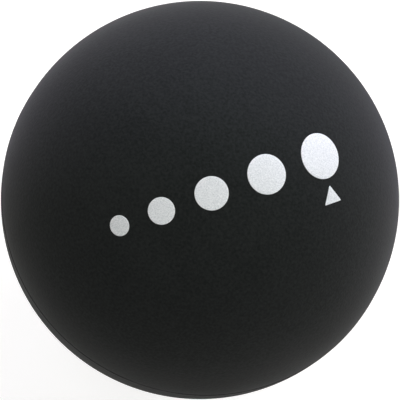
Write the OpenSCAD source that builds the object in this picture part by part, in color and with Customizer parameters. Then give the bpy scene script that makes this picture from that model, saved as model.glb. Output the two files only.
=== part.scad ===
// Solid rubber ball with a printed firmness scale
//
// The ball is one rubber moulding. A narrow bead runs round it where the two halves of the
// mould met and the flash was trimmed. The print is a scale of dots that grow from soft to
// firm, with a pointer under the dot that gives the grade of this ball.
//
// The origin is the centre of the ball, and +Z is the axis along which the mould opens, so
// the parting line lies in the XY plane. The front of the ball faces -Y.
// Sizes are in millimetres and angles in degrees.

/* [Ball] */
// Diameter of the moulded ball, clear of the parting line
ball_d = 63.5; // [50:0.5:90]

/* [Parting line] */
// Width of the bead that the trimmed flash leaves
bead_w = 0.8; // [0.4:0.1:2]
// How far the crown of the bead stands proud of the ball
bead_rise = 0.08; // [0.04:0.01:0.3]

/* [Dots] */
// Diameter of the first dot, at the soft end of the scale
first_dot_d = 3.2; // [2:0.1:5]
// Growth in diameter from each dot to the next
dot_growth = 1; // [0:0.1:1.5]
// Gap between neighbouring dots, along the curve of the ball
dot_gap = 3.4; // [1:0.1:5]

/* [Pointer] */
// Dot that the pointer stands under, counted from the soft end
grade = 5; // [1:1:5]
// Width of the pointer across its foot
pointer_w = 3.4; // [2:0.1:5]
// Height of the pointer from its foot to its tip
pointer_h = 2.8; // [1.5:0.1:4]
// Gap between the pointer's tip and the edge of its dot
pointer_gap = 1.1; // [0.5:0.1:3]

/* [Print] */
// Thickness of the ink film
ink_t = 0.06; // [0.04:0.01:0.2]
// Lean of the middle of the print from the mould axis, towards the front
print_lean = 10.5; // [0:0.5:40]
// Turn of the row of dots about the middle of the print
print_turn = 21; // [-90:1:90]

/* [Hidden] */
$fn = 120;

rubber_black = "#1e1f20";
ink_white = "#e6e9ec";

dot_count = 5;
ball_r = ball_d / 2;
film_r = ball_r + ink_t;

// The bead's arc passes through its crown and through the two edges where it leaves the ball
bead_edge_r = sqrt(pow(ball_r, 2) - pow(bead_w / 2, 2));
bead_sag = ball_r + bead_rise - bead_edge_r;
bead_r = (pow(bead_sag, 2) + pow(bead_w / 2, 2)) / (2 * bead_sag);
bead_centre = ball_r + bead_rise - bead_r;

// Size of dot i, and its place along the row from the middle of the print
function dot_d(i) = first_dot_d + (i - 1) * dot_growth;
function row_to(i) = i < 1 ? 0 : row_to(i - 1) + dot_d(i) + dot_gap;
row_l = row_to(dot_count) - dot_gap;
function dot_along(i) = row_to(i - 1) + dot_d(i) / 2 - row_l / 2;

// Angle at the centre of the ball for a length laid along its surface
function arc_angle(length) = length / ball_r * 180 / PI;

// Half of the ball's section, from the mould axis out to the crown of the bead
module half_section() {
    intersection() {
        union() {
            circle(r = ball_r);
            translate([bead_centre, 0]) circle(r = bead_r);
        }
        translate([0, -ball_d]) square(2 * ball_d);
    }
}

// Skin of ink all over the ball, from which the outlines are cut
module ink_skin() {
    difference() {
        sphere(r = film_r);
        sphere(r = ball_r);
    }
}

// Film with the outline of the children, laid on the ball at a place along and across the row
module printed(along, across) {
    rotate([print_lean, 0, 0])
    rotate([0, 0, print_turn])
    rotate([0, arc_angle(along), 0])
    rotate([-arc_angle(across), 0, 0])
    intersection() {
        ink_skin();
        linear_extrude(height = ball_d) children();
    }
}

module ball() {
    color(rubber_black) rotate_extrude() half_section();
}

module firmness_dot(i) {
    color(ink_white) printed(dot_along(i), 0) circle(d = dot_d(i));
}

module firmness_pointer() {
    tip_drop = dot_d(grade) / 2 + pointer_gap;
    color(ink_white)
    printed(dot_along(grade), -tip_drop - pointer_h / 2)
    polygon([
        [-pointer_w / 2, -pointer_h / 2],
        [pointer_w / 2, -pointer_h / 2],
        [0, pointer_h / 2]
    ]);
}

ball();
firmness_dot(1);  // firmness_dot_1
firmness_dot(2);  // firmness_dot_2
firmness_dot(3);  // firmness_dot_3
firmness_dot(4);  // firmness_dot_4
firmness_dot(5);  // firmness_dot_5
firmness_pointer();
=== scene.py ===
# %% [markdown]
# # A solid rubber lacrosse ball
#
# A lacrosse ball is one piece of black rubber. A slug of rubber is pressed and cured between two
# hollow halves of a mould, the thin flash that squeezes out between them is trimmed off, and a pad
# printer lays a pale scale of dots on top. This lesson gives that ball its finish.
#
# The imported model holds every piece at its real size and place, in metres. Its origin is the middle
# of the ball, and the parting line of the mould lies in the XY plane. Its meshes are flat loose
# triangles, so each piece is measured there and then modelled again with a smooth surface.

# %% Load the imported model
import math

import bmesh
import bpy
from mathutils import Matrix, Vector, noise


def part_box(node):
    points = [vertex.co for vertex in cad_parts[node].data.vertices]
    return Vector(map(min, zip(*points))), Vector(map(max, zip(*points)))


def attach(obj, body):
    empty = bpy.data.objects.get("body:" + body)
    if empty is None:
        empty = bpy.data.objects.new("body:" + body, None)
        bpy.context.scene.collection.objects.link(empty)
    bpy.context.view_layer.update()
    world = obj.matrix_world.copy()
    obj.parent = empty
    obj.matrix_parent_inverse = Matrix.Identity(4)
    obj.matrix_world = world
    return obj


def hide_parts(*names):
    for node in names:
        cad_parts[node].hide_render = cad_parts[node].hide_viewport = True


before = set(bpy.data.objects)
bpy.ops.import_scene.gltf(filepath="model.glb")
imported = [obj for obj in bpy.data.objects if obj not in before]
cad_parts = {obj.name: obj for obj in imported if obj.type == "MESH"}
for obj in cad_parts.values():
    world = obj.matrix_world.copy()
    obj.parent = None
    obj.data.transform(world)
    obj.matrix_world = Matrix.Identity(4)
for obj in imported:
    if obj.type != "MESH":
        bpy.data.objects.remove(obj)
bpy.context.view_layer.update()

scene = bpy.context.scene
print("CAD nodes:", ", ".join(sorted(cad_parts)))

# %% [markdown]
# ## Measuring the ball
#
# The poles are clear of the parting line, so the top of the ball's box gives its radius. The nearer
# side of the box gives the crown of the bead that the trimmed flash leaves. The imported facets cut
# that crown a little short, so a bead of this height stays inside them all round. The bead's edges
# are the points of the moulded surface that lie nearest to the parting plane.

# %% Measure the ball
mm = 0.001
touching = 0.001 * mm
ball_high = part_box("ball")[1]
ball_r = ball_high.z
bead_crown_r = min(ball_high.x, ball_high.y)
ball_points = [vert.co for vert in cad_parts["ball"].data.vertices]
moulded_points = [point for point in ball_points if abs(point.length - ball_r) < touching]
bead_half = min(abs(point.z) for point in moulded_points)
print(f"ball {2 * ball_r / mm:.2f} mm across, bead {2 * bead_half / mm:.2f} mm wide")
print(f"bead stands {(bead_crown_r - ball_r) / mm:.3f} mm proud")

# %% [markdown]
# ## The camera
#
# The view is from high above the printed half, through a long lens, so the outline is a circle and
# the parting line shows only as a thin line just inside it, at the lower left. The camera is placed
# by two angles. Its right and up directions come from cross products with +Y, the top of the view,
# and the focal length follows from the share of the frame that the ball fills.

# %% Place the camera
camera_azimuth = math.radians(-30)
camera_elevation = math.radians(73.5)
camera_distance = 0.6
ball_share = 0.996


def direction(azimuth, elevation):
    """Unit vector towards an azimuth, 0 at the front and 90 degrees at +X, and an elevation."""
    level = math.cos(elevation)
    return Vector((math.sin(azimuth) * level, -math.cos(azimuth) * level, math.sin(elevation)))


back = direction(camera_azimuth, camera_elevation)
right = Vector((0, 1, 0)).cross(back).normalized()
up = back.cross(right)
camera_data = bpy.data.cameras.new("camera")
outline_slope = math.tan(math.asin(ball_r / camera_distance))
camera_data.lens = camera_data.sensor_width / 2 * ball_share / outline_slope
camera = bpy.data.objects.new("camera", camera_data)
camera_turn = Matrix((right, up, back)).transposed().to_4x4()
camera.matrix_world = Matrix.Translation(back * camera_distance) @ camera_turn
scene.collection.objects.link(camera)
scene.camera = camera
print(f"lens {camera_data.lens:.0f} mm")

# %% [markdown]
# ## Helpers for materials
#
# Colours are written as the sRGB hex values that a paint program shows, and Blender's sockets take
# linear light, so one function converts them. Another adds a shader node: it sets the node's
# settings, and fills each input with a value or with a link from another node. The third starts a
# material with nothing in it but its output.

# %% Colour and node helpers
middle_grey = "#808080"


def linear(hex_colour):
    """Linear RGBA of an sRGB hex colour."""
    srgb = [int(hex_colour[i:i + 2], 16) / 255 for i in (1, 3, 5)]
    return [c / 12.92 if c <= 0.04045 else ((c + 0.055) / 1.055) ** 2.4 for c in srgb] + [1.0]


def add_node(tree, kind, inputs=None, **settings):
    """Adds a node, sets its settings, and fills its inputs with values or links."""
    node = tree.nodes.new(kind)
    for name, value in settings.items():
        setattr(node, name, value)
    for key, value in (inputs or {}).items():
        if isinstance(value, bpy.types.NodeSocket):
            tree.links.new(value, node.inputs[key])
        else:
            node.inputs[key].default_value = value
    return node


def start_material(name):
    """A new material with an empty tree and its output node."""
    material = bpy.data.materials.new(name)
    material.use_nodes = True
    material.node_tree.nodes.clear()
    return material, material.node_tree, add_node(material.node_tree, "ShaderNodeOutputMaterial")


print("middle grey in linear light:", [round(c, 3) for c in linear(middle_grey)[:3]])

# %% [markdown]
# ## White paper
#
# The ball lies on plain matte paper. A part of the paper's brightness is added only for rays from
# the camera, or ones that mirror or pass through something, so that the open paper reads as white
# while the ball still darkens it where it shades it. The paper at the far edge stands with its back
# to some of the lamps, so there the added part alone is white.

# %% Paper material
# The paper is grey by itself, because the glow adds the rest of its brightness.
paper_grey = "#b6b3b0"
floor_glow = 0.80
lip_glow = 1.0


def white_paper(name, glow):
    """Matte white paper: it scatters light evenly, with no gloss."""
    material, tree, output = start_material(name)
    path = add_node(tree, "ShaderNodeLightPath")
    seen = add_node(tree, "ShaderNodeMath", {0: path.outputs["Is Camera Ray"],
                    1: path.outputs["Is Glossy Ray"]}, operation="MAXIMUM")
    seen = add_node(tree, "ShaderNodeMath", {0: seen.outputs[0],
                    1: path.outputs["Is Transmission Ray"]}, operation="MAXIMUM")
    shown = add_node(tree, "ShaderNodeMath", {0: seen.outputs[0], 1: glow}, operation="MULTIPLY")
    paper = add_node(tree, "ShaderNodeBsdfDiffuse", {"Color": linear(paper_grey)})
    white = add_node(tree, "ShaderNodeEmission", {"Strength": shown.outputs[0]})
    both = add_node(tree, "ShaderNodeAddShader", {0: paper.outputs[0], 1: white.outputs[0]})
    tree.links.new(both.outputs[0], output.inputs["Surface"])
    return material


floor_paper = white_paper("white_floor_paper", floor_glow)
lip_paper = white_paper("white_lip_paper", lip_glow)
print("made", floor_paper.name, "and", lip_paper.name)

# %% [markdown]
# ## The floor
#
# A studio sweep is a sheet of paper that turns up at its far edge, so that no horizon shows. Here it
# is a disc with a coved lip, made by spinning a short profile round the Z axis. The lip is low, so
# that light from behind still reaches the ball. The three helpers sweep a vertex along an arc, spin
# a profile and make an object, and the ball uses them again.

# %% Make the floor
floor_reach = 4.2
lip_r = 0.1
lip_steps = 16
floor_sides = 96
floor_gap = 0.01 * mm


def arc(bm, vert, centre, turn, steps):
    """Sweeps a vertex along an arc in the XZ plane, and returns the arc's last vertex."""
    made = bmesh.ops.spin(bm, geom=[vert], cent=centre, axis=(0, -1, 0), angle=turn, steps=steps)
    return next(part for part in made["geom_last"] if isinstance(part, bmesh.types.BMVert))


def full_turn(bm, steps):
    """Spins a profile once round the Z axis and closes it into a smooth surface."""
    profile = bm.verts[:] + bm.edges[:]
    bmesh.ops.spin(bm, geom=profile, axis=(0, 0, 1), angle=math.tau, steps=steps, use_merge=True)
    bmesh.ops.remove_doubles(bm, verts=bm.verts, dist=touching)
    bmesh.ops.recalc_face_normals(bm, faces=bm.faces)
    for face in bm.faces:
        face.smooth = True


def to_object(bm, name, materials):
    """Turns a bmesh into an object at the origin that wears the materials."""
    mesh = bpy.data.meshes.new(name)
    bm.to_mesh(mesh)
    bm.free()
    for material in materials:
        mesh.materials.append(material)
    made = bpy.data.objects.new(name, mesh)
    scene.collection.objects.link(made)
    return made


floor_z = -ball_r - floor_gap
papers = [floor_paper, lip_paper]
bm = bmesh.new()
middle = bm.verts.new((0, 0, floor_z))
edge = bmesh.ops.extrude_vert_indiv(bm, verts=[middle])["verts"][0]
edge.co.x = floor_reach
arc(bm, edge, (floor_reach, 0, floor_z + lip_r), math.pi / 2, lip_steps)
full_turn(bm, floor_sides)
for face in bm.faces:
    if face.calc_center_median().xy.length > floor_reach:
        face.material_index = papers.index(lip_paper)
floor = to_object(bm, "floor", papers)
print(f"floor {2 * (floor_reach + lip_r):.1f} m across")

# %% [markdown]
# ## The light
#
# The picture has the even light of a product studio. Three softboxes stand high, behind the ball,
# to its right and to its left, and light its top. Two more stand low behind it, and their light
# skims the far edges and draws a pale rim there. A faint one fills the front. The ones behind are a
# little cooler than the one in front, which gives the black rubber some depth.
#
# A sun lamp with a wide angle stands for each softbox. It is as soft, it lights the whole floor
# evenly, and it never stands in another view. A share of 1 would light a white card that faces the
# lamp to white. The surround adds only a trace of light.

# %% Place the lamps
softbox_width = math.radians(34)
softboxes = {
    # name: azimuth and elevation in degrees, share of the light, colour
    "high_back_softbox": (163, 49, 0.37, "#f9faff"),
    "high_right_softbox": (110, 50, 0.38, "#ffffff"),
    "high_left_softbox": (278, 64, 0.24, "#fffffb"),
    "low_back_softbox": (178, 2, 0.98, "#e0d8ff"),
    "low_back_right_softbox": (146, 2, 0.80, "#f3eeff"),
    "front_softbox": (345, 30, 0.16, "#fffbf4"),
}
surround_white = "#ffffff"
surround_strength = 0.005

for name, (azimuth, elevation, share, colour) in softboxes.items():
    lamp_data = bpy.data.lights.new(name, "SUN")
    lamp_data.angle = softbox_width
    lamp_data.energy = share * math.pi
    lamp_data.color = linear(colour)[:3]
    lamp = bpy.data.objects.new(name, lamp_data)
    lamp.rotation_mode = "QUATERNION"
    towards = direction(math.radians(azimuth), math.radians(elevation))
    lamp.rotation_quaternion = towards.to_track_quat("Z", "Y")
    scene.collection.objects.link(lamp)

world = bpy.data.worlds.new("studio")
world.use_nodes = True
background = world.node_tree.nodes["Background"]
background.inputs["Color"].default_value = linear(surround_white)
background.inputs["Strength"].default_value = surround_strength
scene.world = world
scene.view_settings.view_transform = "Standard"
print(len(softboxes), "lamps")

# %% [markdown]
# ## The grain of the mould
#
# The mould was blasted with fine grit. The rubber copies that grain, and the ink that is printed on
# the rubber follows it. Grain as fine as this needs no geometry: a Bump node tilts the shading by
# the heights of a noise. The noise reads Object coordinates, as all the patterns here do, so that it
# lies in the rubber like a solid and needs no unwrap.

# %% Grain helper
# The real grit is finer than 0.1 mm, and is drawn coarser here so that it shows in the picture.
grain_size = 0.42 * mm
grain_height = 0.030 * mm


def blasted_grain(tree, here, height):
    """Pattern and normal of the grain that the blasted mould leaves."""
    grain = add_node(tree, "ShaderNodeTexNoise",
                     {"Vector": here, "Scale": 1 / grain_size, "Detail": 2.0})
    bump = add_node(tree, "ShaderNodeBump", {"Height": grain.outputs[0], "Distance": height})
    return grain.outputs[0], bump.outputs[0]


print(f"grain {grain_size / mm:.2f} mm wide and up to {grain_height / mm:.3f} mm high")

# %% [markdown]
# ## Black moulded rubber
#
# Carbon black colours the rubber right through, so hardly any light comes back from inside it. What
# the eye sees is a broad weak gloss from the surface, which the grain makes matte. The cure leaves a
# bloom on the surface, a film of powder as thin as breath. It dulls the gloss further, so the
# specular level is far below the usual 0.5. It lies in soft cloudy patches, and where the surface
# turns away it scatters light like velvet, which the sheen stands for. A few specks of dust cling to
# it. The wheel that dressed the parting line has buffed a narrow band beside it, greyer in patches.
#
# Most values of a noise lie between 0.3 and 0.7, so Map Range nodes stretch that span. A Mix node
# for colours takes its share in socket 0 and its colours in 6 and 7, and gives the result in 2.

# %% Rubber material
rubber_black = "#151817"
rubber_bloomed = "#232625"
buffed_grey = "#323434"
dust_grey = "#3c3d3e"
cloud_size = 9 * mm
buffed_half = 1.6 * mm
dust_spacing = 2.6 * mm
dust_size = 0.09 * mm
dust_cover = 0.5
noise_span = {"From Min": 0.3, "From Max": 0.7}
buffed_patches = {"From Min": 0.35, "From Max": 0.6}
cloudy_bloom = {"To Min": 0.3, "To Max": 0.7}
grainy_bloom = {"To Min": -0.5, "To Max": 0.5}
rubber_roughness = {"To Min": 0.80, "To Max": 0.90}


def moulded_rubber():
    """Near black, with a broad weak gloss, fine grain, cloudy bloom, a buffed band and dust."""
    material, tree, output = start_material("moulded_black_rubber")
    here = add_node(tree, "ShaderNodeTexCoord").outputs["Object"]
    grain, normal = blasted_grain(tree, here, grain_height)
    cloud = add_node(tree, "ShaderNodeTexNoise",
                     {"Vector": here, "Scale": 1 / cloud_size, "Detail": 4.0}).outputs[0]

    # Bloom in cloudy patches, broken up by the grain
    patch = add_node(tree, "ShaderNodeMapRange", {"Value": cloud, **noise_span, **cloudy_bloom})
    speckle = add_node(tree, "ShaderNodeMapRange", {"Value": grain, **noise_span, **grainy_bloom})
    bloom = add_node(tree, "ShaderNodeMath", {0: patch.outputs[0], 1: speckle.outputs[0]},
                     operation="ADD", use_clamp=True)
    colour = add_node(tree, "ShaderNodeMix", {0: bloom.outputs[0], 6: linear(rubber_black),
                      7: linear(rubber_bloomed)}, data_type="RGBA").outputs[2]

    # Specks of dust, one in each cell of a Voronoi pattern
    dust = add_node(tree, "ShaderNodeTexVoronoi", {"Vector": here, "Scale": 1 / dust_spacing})
    speck = add_node(tree, "ShaderNodeMapRange", {"Value": dust.outputs["Distance"], "From Min": 0.0,
                     "From Max": dust_size / dust_spacing, "To Min": dust_cover, "To Max": 0.0})
    colour = add_node(tree, "ShaderNodeMix", {0: speck.outputs[0], 6: colour, 7: linear(dust_grey)},
                      data_type="RGBA").outputs[2]

    # Buffed band that fades out from the parting line, and is strong only in patches
    height = add_node(tree, "ShaderNodeSeparateXYZ", {"Vector": here}).outputs["Z"]
    away = add_node(tree, "ShaderNodeMath", {0: height}, operation="ABSOLUTE")
    beside = add_node(tree, "ShaderNodeMapRange", {"Value": away.outputs[0], "From Min": 0.0,
                      "From Max": buffed_half, "To Min": 1.0, "To Max": 0.0})
    touched = add_node(tree, "ShaderNodeMapRange", {"Value": cloud, **buffed_patches})
    buffed = add_node(tree, "ShaderNodeMath", {0: beside.outputs[0], 1: touched.outputs[0]},
                      operation="MULTIPLY")
    colour = add_node(tree, "ShaderNodeMix", {0: buffed.outputs[0], 6: colour, 7: linear(buffed_grey)},
                      data_type="RGBA").outputs[2]

    roughness = add_node(tree, "ShaderNodeMapRange", {"Value": cloud, **noise_span, **rubber_roughness})
    shader = add_node(tree, "ShaderNodeBsdfPrincipled", {
        "Base Color": colour, "Roughness": roughness.outputs[0], "IOR": 1.5, "Specular IOR Level": 0.1,
        "Sheen Weight": 0.11, "Sheen Roughness": 0.5, "Normal": normal})
    tree.links.new(shader.outputs[0], output.inputs["Surface"])
    return material


rubber = moulded_rubber()
print("made", rubber.name)

# %% [markdown]
# ## Trimmed flash
#
# The bead is the same rubber, but a trimming knife has crossed it and taken the bloom off, so it is
# darker than the moulded face and has none of its velvet sheen. The knife leaves fine scratches
# across the bead's width. They follow each other round the ball, so the pattern is a noise along the
# arc length, which comes from the arctangent of Y and X. Where the wheel went over the bead as well,
# it takes the colour of the rubber beside it, and the dark line fades for a few millimetres.

# %% Trimmed flash material
trim_black = "#0a0a0a"
trim_grey = "#161616"
scratch_spacing = 0.35 * mm
wear_size = 5 * mm
worn_stretches = {"From Min": 0.48, "From Max": 0.72}
trim_roughness = {"To Min": 0.62, "To Max": 0.74}


def trimmed_flash():
    """Darker than the moulded face, without bloom, with fine scratches and stretches worn pale."""
    material, tree, output = start_material("trimmed_rubber_flash")
    here = add_node(tree, "ShaderNodeTexCoord").outputs["Object"]
    axes = add_node(tree, "ShaderNodeSeparateXYZ", {"Vector": here})
    turn = add_node(tree, "ShaderNodeMath", {0: axes.outputs["Y"], 1: axes.outputs["X"]},
                    operation="ARCTAN2")
    along = add_node(tree, "ShaderNodeMath", {0: turn.outputs[0], 1: ball_r / scratch_spacing},
                     operation="MULTIPLY")
    scratch = add_node(tree, "ShaderNodeTexNoise", {"W": along.outputs[0], "Scale": 1.0, "Detail": 2.0},
                       noise_dimensions="1D").outputs[0]
    share = add_node(tree, "ShaderNodeMapRange", {"Value": scratch, **noise_span})
    colour = add_node(tree, "ShaderNodeMix", {0: share.outputs[0], 6: linear(trim_black),
                      7: linear(trim_grey)}, data_type="RGBA").outputs[2]

    # Stretches that the wheel has worn to the colour of the rubber beside them
    wear = add_node(tree, "ShaderNodeTexNoise", {"Vector": here, "Scale": 1 / wear_size, "Detail": 3.0})
    worn = add_node(tree, "ShaderNodeMapRange", {"Value": wear.outputs[0], **worn_stretches})
    colour = add_node(tree, "ShaderNodeMix", {0: worn.outputs[0], 6: colour, 7: linear(rubber_bloomed)},
                      data_type="RGBA").outputs[2]

    roughness = add_node(tree, "ShaderNodeMapRange", {"Value": scratch, **noise_span, **trim_roughness})
    bump = add_node(tree, "ShaderNodeBump", {"Height": scratch, "Distance": grain_height})
    shader = add_node(tree, "ShaderNodeBsdfPrincipled", {
        "Base Color": colour, "Roughness": roughness.outputs[0], "IOR": 1.5, "Specular IOR Level": 0.1,
        "Normal": bump.outputs[0]})
    tree.links.new(shader.outputs[0], output.inputs["Surface"])
    return material


flash = trimmed_flash()
print("made", flash.name)

# %% [markdown]
# ## The moulded ball
#
# A ready-made sphere would have no parting line. The ball is turned instead, like the cavity of its
# mould: one vertex at the lower pole is swept along an arc to the bead, over the bead's own small
# arc and on to the upper pole, and that profile makes one full turn. The bead's arc passes through
# its crown and both its edges, which gives its radius. A short extra arc on each side of the bead
# keeps its edge crisp.

# %% Turn the ball
pole_steps = 100
bead_steps = 10
edge_steps = 2
edge_width = 0.3 * mm
round_steps = 360

bead_edge_r = math.sqrt(ball_r ** 2 - bead_half ** 2)
bead_sag = bead_crown_r - bead_edge_r
bead_r = (bead_sag ** 2 + bead_half ** 2) / (2 * bead_sag)
bead_centre = (bead_crown_r - bead_r, 0, 0)
bead_turn = 2 * math.asin(bead_half / bead_r)
edge_turn = edge_width / ball_r
pole_turn = math.pi / 2 - math.asin(bead_half / ball_r) - edge_turn
origin = (0, 0, 0)

bm = bmesh.new()
point = bm.verts.new((0, 0, -ball_r))
point = arc(bm, point, origin, pole_turn, pole_steps)
point = arc(bm, point, origin, edge_turn, edge_steps)
point = arc(bm, point, bead_centre, bead_turn, bead_steps)
point = arc(bm, point, origin, edge_turn, edge_steps)
point = arc(bm, point, origin, pole_turn, pole_steps)
full_turn(bm, round_steps)
print(f"turned {len(bm.faces)} faces, with a bead of {bead_r / mm:.2f} mm radius")

# %% [markdown]
# ## Trimming the bead
#
# No trim is even, so the bead loses a little height here and there, by a long and a short wave of
# noise. It only ever loses height, which keeps it inside the CAD model. Its faces wear the trimmed
# flash, and the rest of the ball wears the moulded rubber.

# %% Trim the bead and finish the ball
trim_loss = 0.5
trim_waves = [14 * mm, 2.2 * mm]
ball_finishes = [rubber, flash]

for vert in bm.verts:
    proud = vert.co.length - ball_r
    if proud > touching:
        waves = [noise.noise(Vector((vert.co.x, vert.co.y, 0)) / wave) for wave in trim_waves]
        kept = 1 - trim_loss * min(1, abs(sum(waves)))
        vert.co *= (ball_r + proud * kept) / vert.co.length
for face in bm.faces:
    if abs(face.calc_center_median().z) < bead_half:
        face.material_index = ball_finishes.index(flash)


def finish_piece(bm, name, node, materials):
    """Makes a piece from its bmesh with the given materials, puts it under the root body, and hides the
    CAD node that it stands for.
    """
    triangles = sum(len(face.verts) - 2 for face in bm.faces)
    piece = to_object(bm, name, materials)
    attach(piece, "root")
    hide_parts(node)
    print(f"{name}: {triangles} triangles")


finish_piece(bm, "moulded_ball", "ball", ball_finishes)

# %% [markdown]
# ## Printing ink
#
# Pad printing leaves a thin satin film of off-white ink. It is opaque, but not quite even: it lies
# thinner over the peaks of the grain, which shows as faint mottling, and tiny pinholes are left
# where the pad missed the bottom of a pit. The film follows the rubber's grain, so it has the same
# bump, a little softened.

# %% Ink material
ink_white = "#f8fbfc"
ink_thin = "#d8dddf"
# One step of the mottling is about as wide as a pixel, which is coarser than the real one.
ink_mottle = 0.16 * mm
pinhole_spacing = 0.9 * mm
pinhole_size = 0.07 * mm
pinhole_depth = 0.8
ink_softening = 0.6
ink_roughness = {"To Min": 0.50, "To Max": 0.60}


def pad_printing_ink():
    """Off-white and satin, with faint mottling and a few pinholes."""
    material, tree, output = start_material("pad_printing_ink")
    here = add_node(tree, "ShaderNodeTexCoord").outputs["Object"]
    grain, normal = blasted_grain(tree, here, grain_height * ink_softening)
    mottle = add_node(tree, "ShaderNodeTexNoise",
                      {"Vector": here, "Scale": 1 / ink_mottle, "Detail": 1.0})
    thin = add_node(tree, "ShaderNodeMapRange", {"Value": mottle.outputs[0], **noise_span})
    colour = add_node(tree, "ShaderNodeMix", {0: thin.outputs[0], 6: linear(ink_white),
                      7: linear(ink_thin)}, data_type="RGBA").outputs[2]

    # Pinholes, one in each cell of a Voronoi pattern
    pits = add_node(tree, "ShaderNodeTexVoronoi", {"Vector": here, "Scale": 1 / pinhole_spacing})
    hole = add_node(tree, "ShaderNodeMapRange", {"Value": pits.outputs["Distance"], "From Min": 0.0,
                    "From Max": pinhole_size / pinhole_spacing, "To Min": pinhole_depth, "To Max": 0.0})
    colour = add_node(tree, "ShaderNodeMix", {0: hole.outputs[0], 6: colour, 7: linear(rubber_black)},
                      data_type="RGBA").outputs[2]

    roughness = add_node(tree, "ShaderNodeMapRange", {"Value": grain, **noise_span, **ink_roughness})
    shader = add_node(tree, "ShaderNodeBsdfPrincipled", {
        "Base Color": colour, "Roughness": roughness.outputs[0], "IOR": 1.5, "Specular IOR Level": 0.15,
        "Normal": normal})
    tree.links.new(shader.outputs[0], output.inputs["Surface"])
    return material


ink = pad_printing_ink()
print("made", ink.name)

# %% [markdown]
# ## The section of an ink film
#
# Each island of ink is a film of even thickness that wraps the ball. Wet ink draws back at its edge
# and dries with a rounded rim, which catches the light as a flat step would not. The film is made of
# rings that are all scaled copies of its outline, so its section is a list of scales and heights:
# out along the underside, round the rim, and back to the middle of the top. The underside lies a
# hair inside the rubber, so that no gap shows at the rim.

# %% Film section
film_key = 0.01 * mm
film_rings = 8
rim_steps = 4
rim_share = 0.7
pointer_points = [vert.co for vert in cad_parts["firmness_pointer"].data.vertices]
film_t = max(point.length for point in pointer_points) - ball_r
rim_r = film_t * rim_share


def film_section(half_width):
    """Scale and height of each ring, from the middle of the underside to the middle of the top."""
    under = [(k / film_rings, -film_key) for k in range(1, film_rings + 1)]
    rim = []
    for k in range(rim_steps + 1):
        turn = math.pi / 2 * k / rim_steps
        inset = rim_r * (1 - math.cos(turn))
        rim.append((1 - inset / half_width, film_t - rim_r * (1 - math.sin(turn))))
    top = [(rim[-1][0] * k / film_rings, film_t) for k in range(film_rings - 1, 0, -1)]
    return under + rim + top


print(f"ink film {film_t / mm:.3f} mm thick, with a rim of {rim_r / mm:.3f} mm radius")

# %% [markdown]
# ## Laying the ink on the ball
#
# A film is built flat first, where its outline is simple. The outline face starts small at the
# middle of the underside, and is extruded and scaled from ring to ring of the section. Then every
# vertex is lifted on to the ball, at the height over it that it had over the flat, and the film is
# turned to its place.

# %% Film helper
def lay_film(bm, face, half_width, place):
    """Builds a film on a flat outline that has its middle at the origin, and wraps it on the ball."""
    scale = 1
    for number, (wanted, height) in enumerate(film_section(half_width)):
        if number == 1:
            # The first face stays behind and closes the middle of the underside
            made = bmesh.ops.extrude_face_region(bm, geom=[face], use_keep_orig=True)["geom"]
            face = next(part for part in made if isinstance(part, bmesh.types.BMFace))
        elif number > 1:
            face = bmesh.ops.extrude_discrete_faces(bm, faces=[face])["faces"][0]
        bmesh.ops.scale(bm, vec=(wanted / scale, wanted / scale, 1), verts=face.verts)
        for vert in face.verts:
            vert.co.z = height
        scale = wanted

    # Only the middle faces of the underside and the top have many corners, and they become fans
    caps = [face for face in bm.faces if len(face.verts) > 4]
    bmesh.ops.poke(bm, faces=caps)
    for vert in bm.verts:
        x, y, height = vert.co
        vert.co = Vector((x, y, math.sqrt(ball_r ** 2 - x ** 2 - y ** 2))) * (1 + height / ball_r)
    bmesh.ops.transform(bm, matrix=place, verts=bm.verts)
    bmesh.ops.recalc_face_normals(bm, faces=bm.faces)
    for face in bm.faces:
        face.smooth = True


print(len(film_section(mm)), "rings in each film")

# %% [markdown]
# ## The dots
#
# Five dots grow from the soft end of the scale to the firm end. A dot's outline is a circle, its
# axis runs from the middle of the ball through the middle of its node, and its radius is the
# greatest distance of the node's points from that axis.

# %% Print the dots
dot_sides = 96
dot_nodes = sorted(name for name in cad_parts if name.startswith("firmness_dot_"))


def middle_of(node):
    """Direction from the middle of the ball to the middle of a printed node."""
    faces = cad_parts[node].data.polygons
    return sum((face.center * face.area for face in faces), Vector()).normalized()


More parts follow.
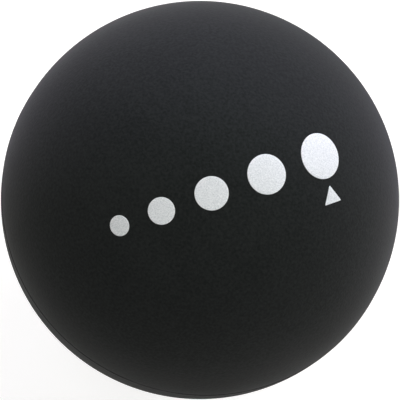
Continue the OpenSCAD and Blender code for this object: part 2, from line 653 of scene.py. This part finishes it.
for node in dot_nodes:
    axis = middle_of(node)
    points = [vert.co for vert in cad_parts[node].data.vertices]
    dot_r = max((point - axis * point.dot(axis)).length for point in points)
    bm = bmesh.new()
    bmesh.ops.create_circle(bm, cap_ends=True, radius=dot_r, segments=dot_sides)
    bm.faces.ensure_lookup_table()
    place = Vector((0, 0, 1)).rotation_difference(axis).to_matrix().to_4x4()
    lay_film(bm, bm.faces[0], dot_r, place)
    finish_piece(bm, node.replace("firmness", "ink"), node, [ink])
    print(f"{node}: {2 * dot_r / mm:.2f} mm across")

# %% [markdown]
# ## The pointer
#
# The pointer under the last dot is a small triangle that marks the grade of this ball. Its corners
# are the points of the node that lie furthest apart. Ink draws in at sharp corners, so a vertex
# bevel rounds them slightly, and the long sides are cut into short ones so that they can bend with
# the ball. The rings shrink towards the centre of the inscribed circle, which keeps the rim even.

# %% Print the pointer
corner_round = 0.22 * mm
corner_steps = 5
side_cuts = 23

top_points = [point for point in pointer_points if point.length > ball_r + film_t / 2]
middle = middle_of("firmness_pointer") * ball_r
first = max(top_points, key=lambda point: (point - middle).length)
second = max(top_points, key=lambda point: (point - first).length)
third = max(top_points, key=lambda point: (point - first).cross(second - first).length)
corners = [first, second, third]
sides = [(second - third).length, (third - first).length, (first - second).length]
incentre = sum((corner * side for corner, side in zip(corners, sides)), Vector()) / sum(sides)
inscribed_r = (second - first).cross(third - first).length / sum(sides)
place = Vector((0, 0, 1)).rotation_difference(incentre).to_matrix()

bm = bmesh.new()
outline = [bm.verts.new((corner @ place).to_2d().to_3d()) for corner in corners]
bm.faces.new(outline)
bmesh.ops.bevel(bm, geom=outline, offset=corner_round, offset_type="OFFSET", affect="VERTICES",
                segments=corner_steps, profile=0.5, material=-1, clamp_overlap=True)
long_edges = [edge for edge in bm.edges if edge.calc_length() > inscribed_r]
bmesh.ops.subdivide_edges(bm, edges=long_edges, cuts=side_cuts)
bm.faces.ensure_lookup_table()
lay_film(bm, bm.faces[0], inscribed_r, place.to_4x4())
finish_piece(bm, "ink_pointer", "firmness_pointer", [ink])
print(f"pointer sides {[round(side / mm, 2) for side in sides]} mm")
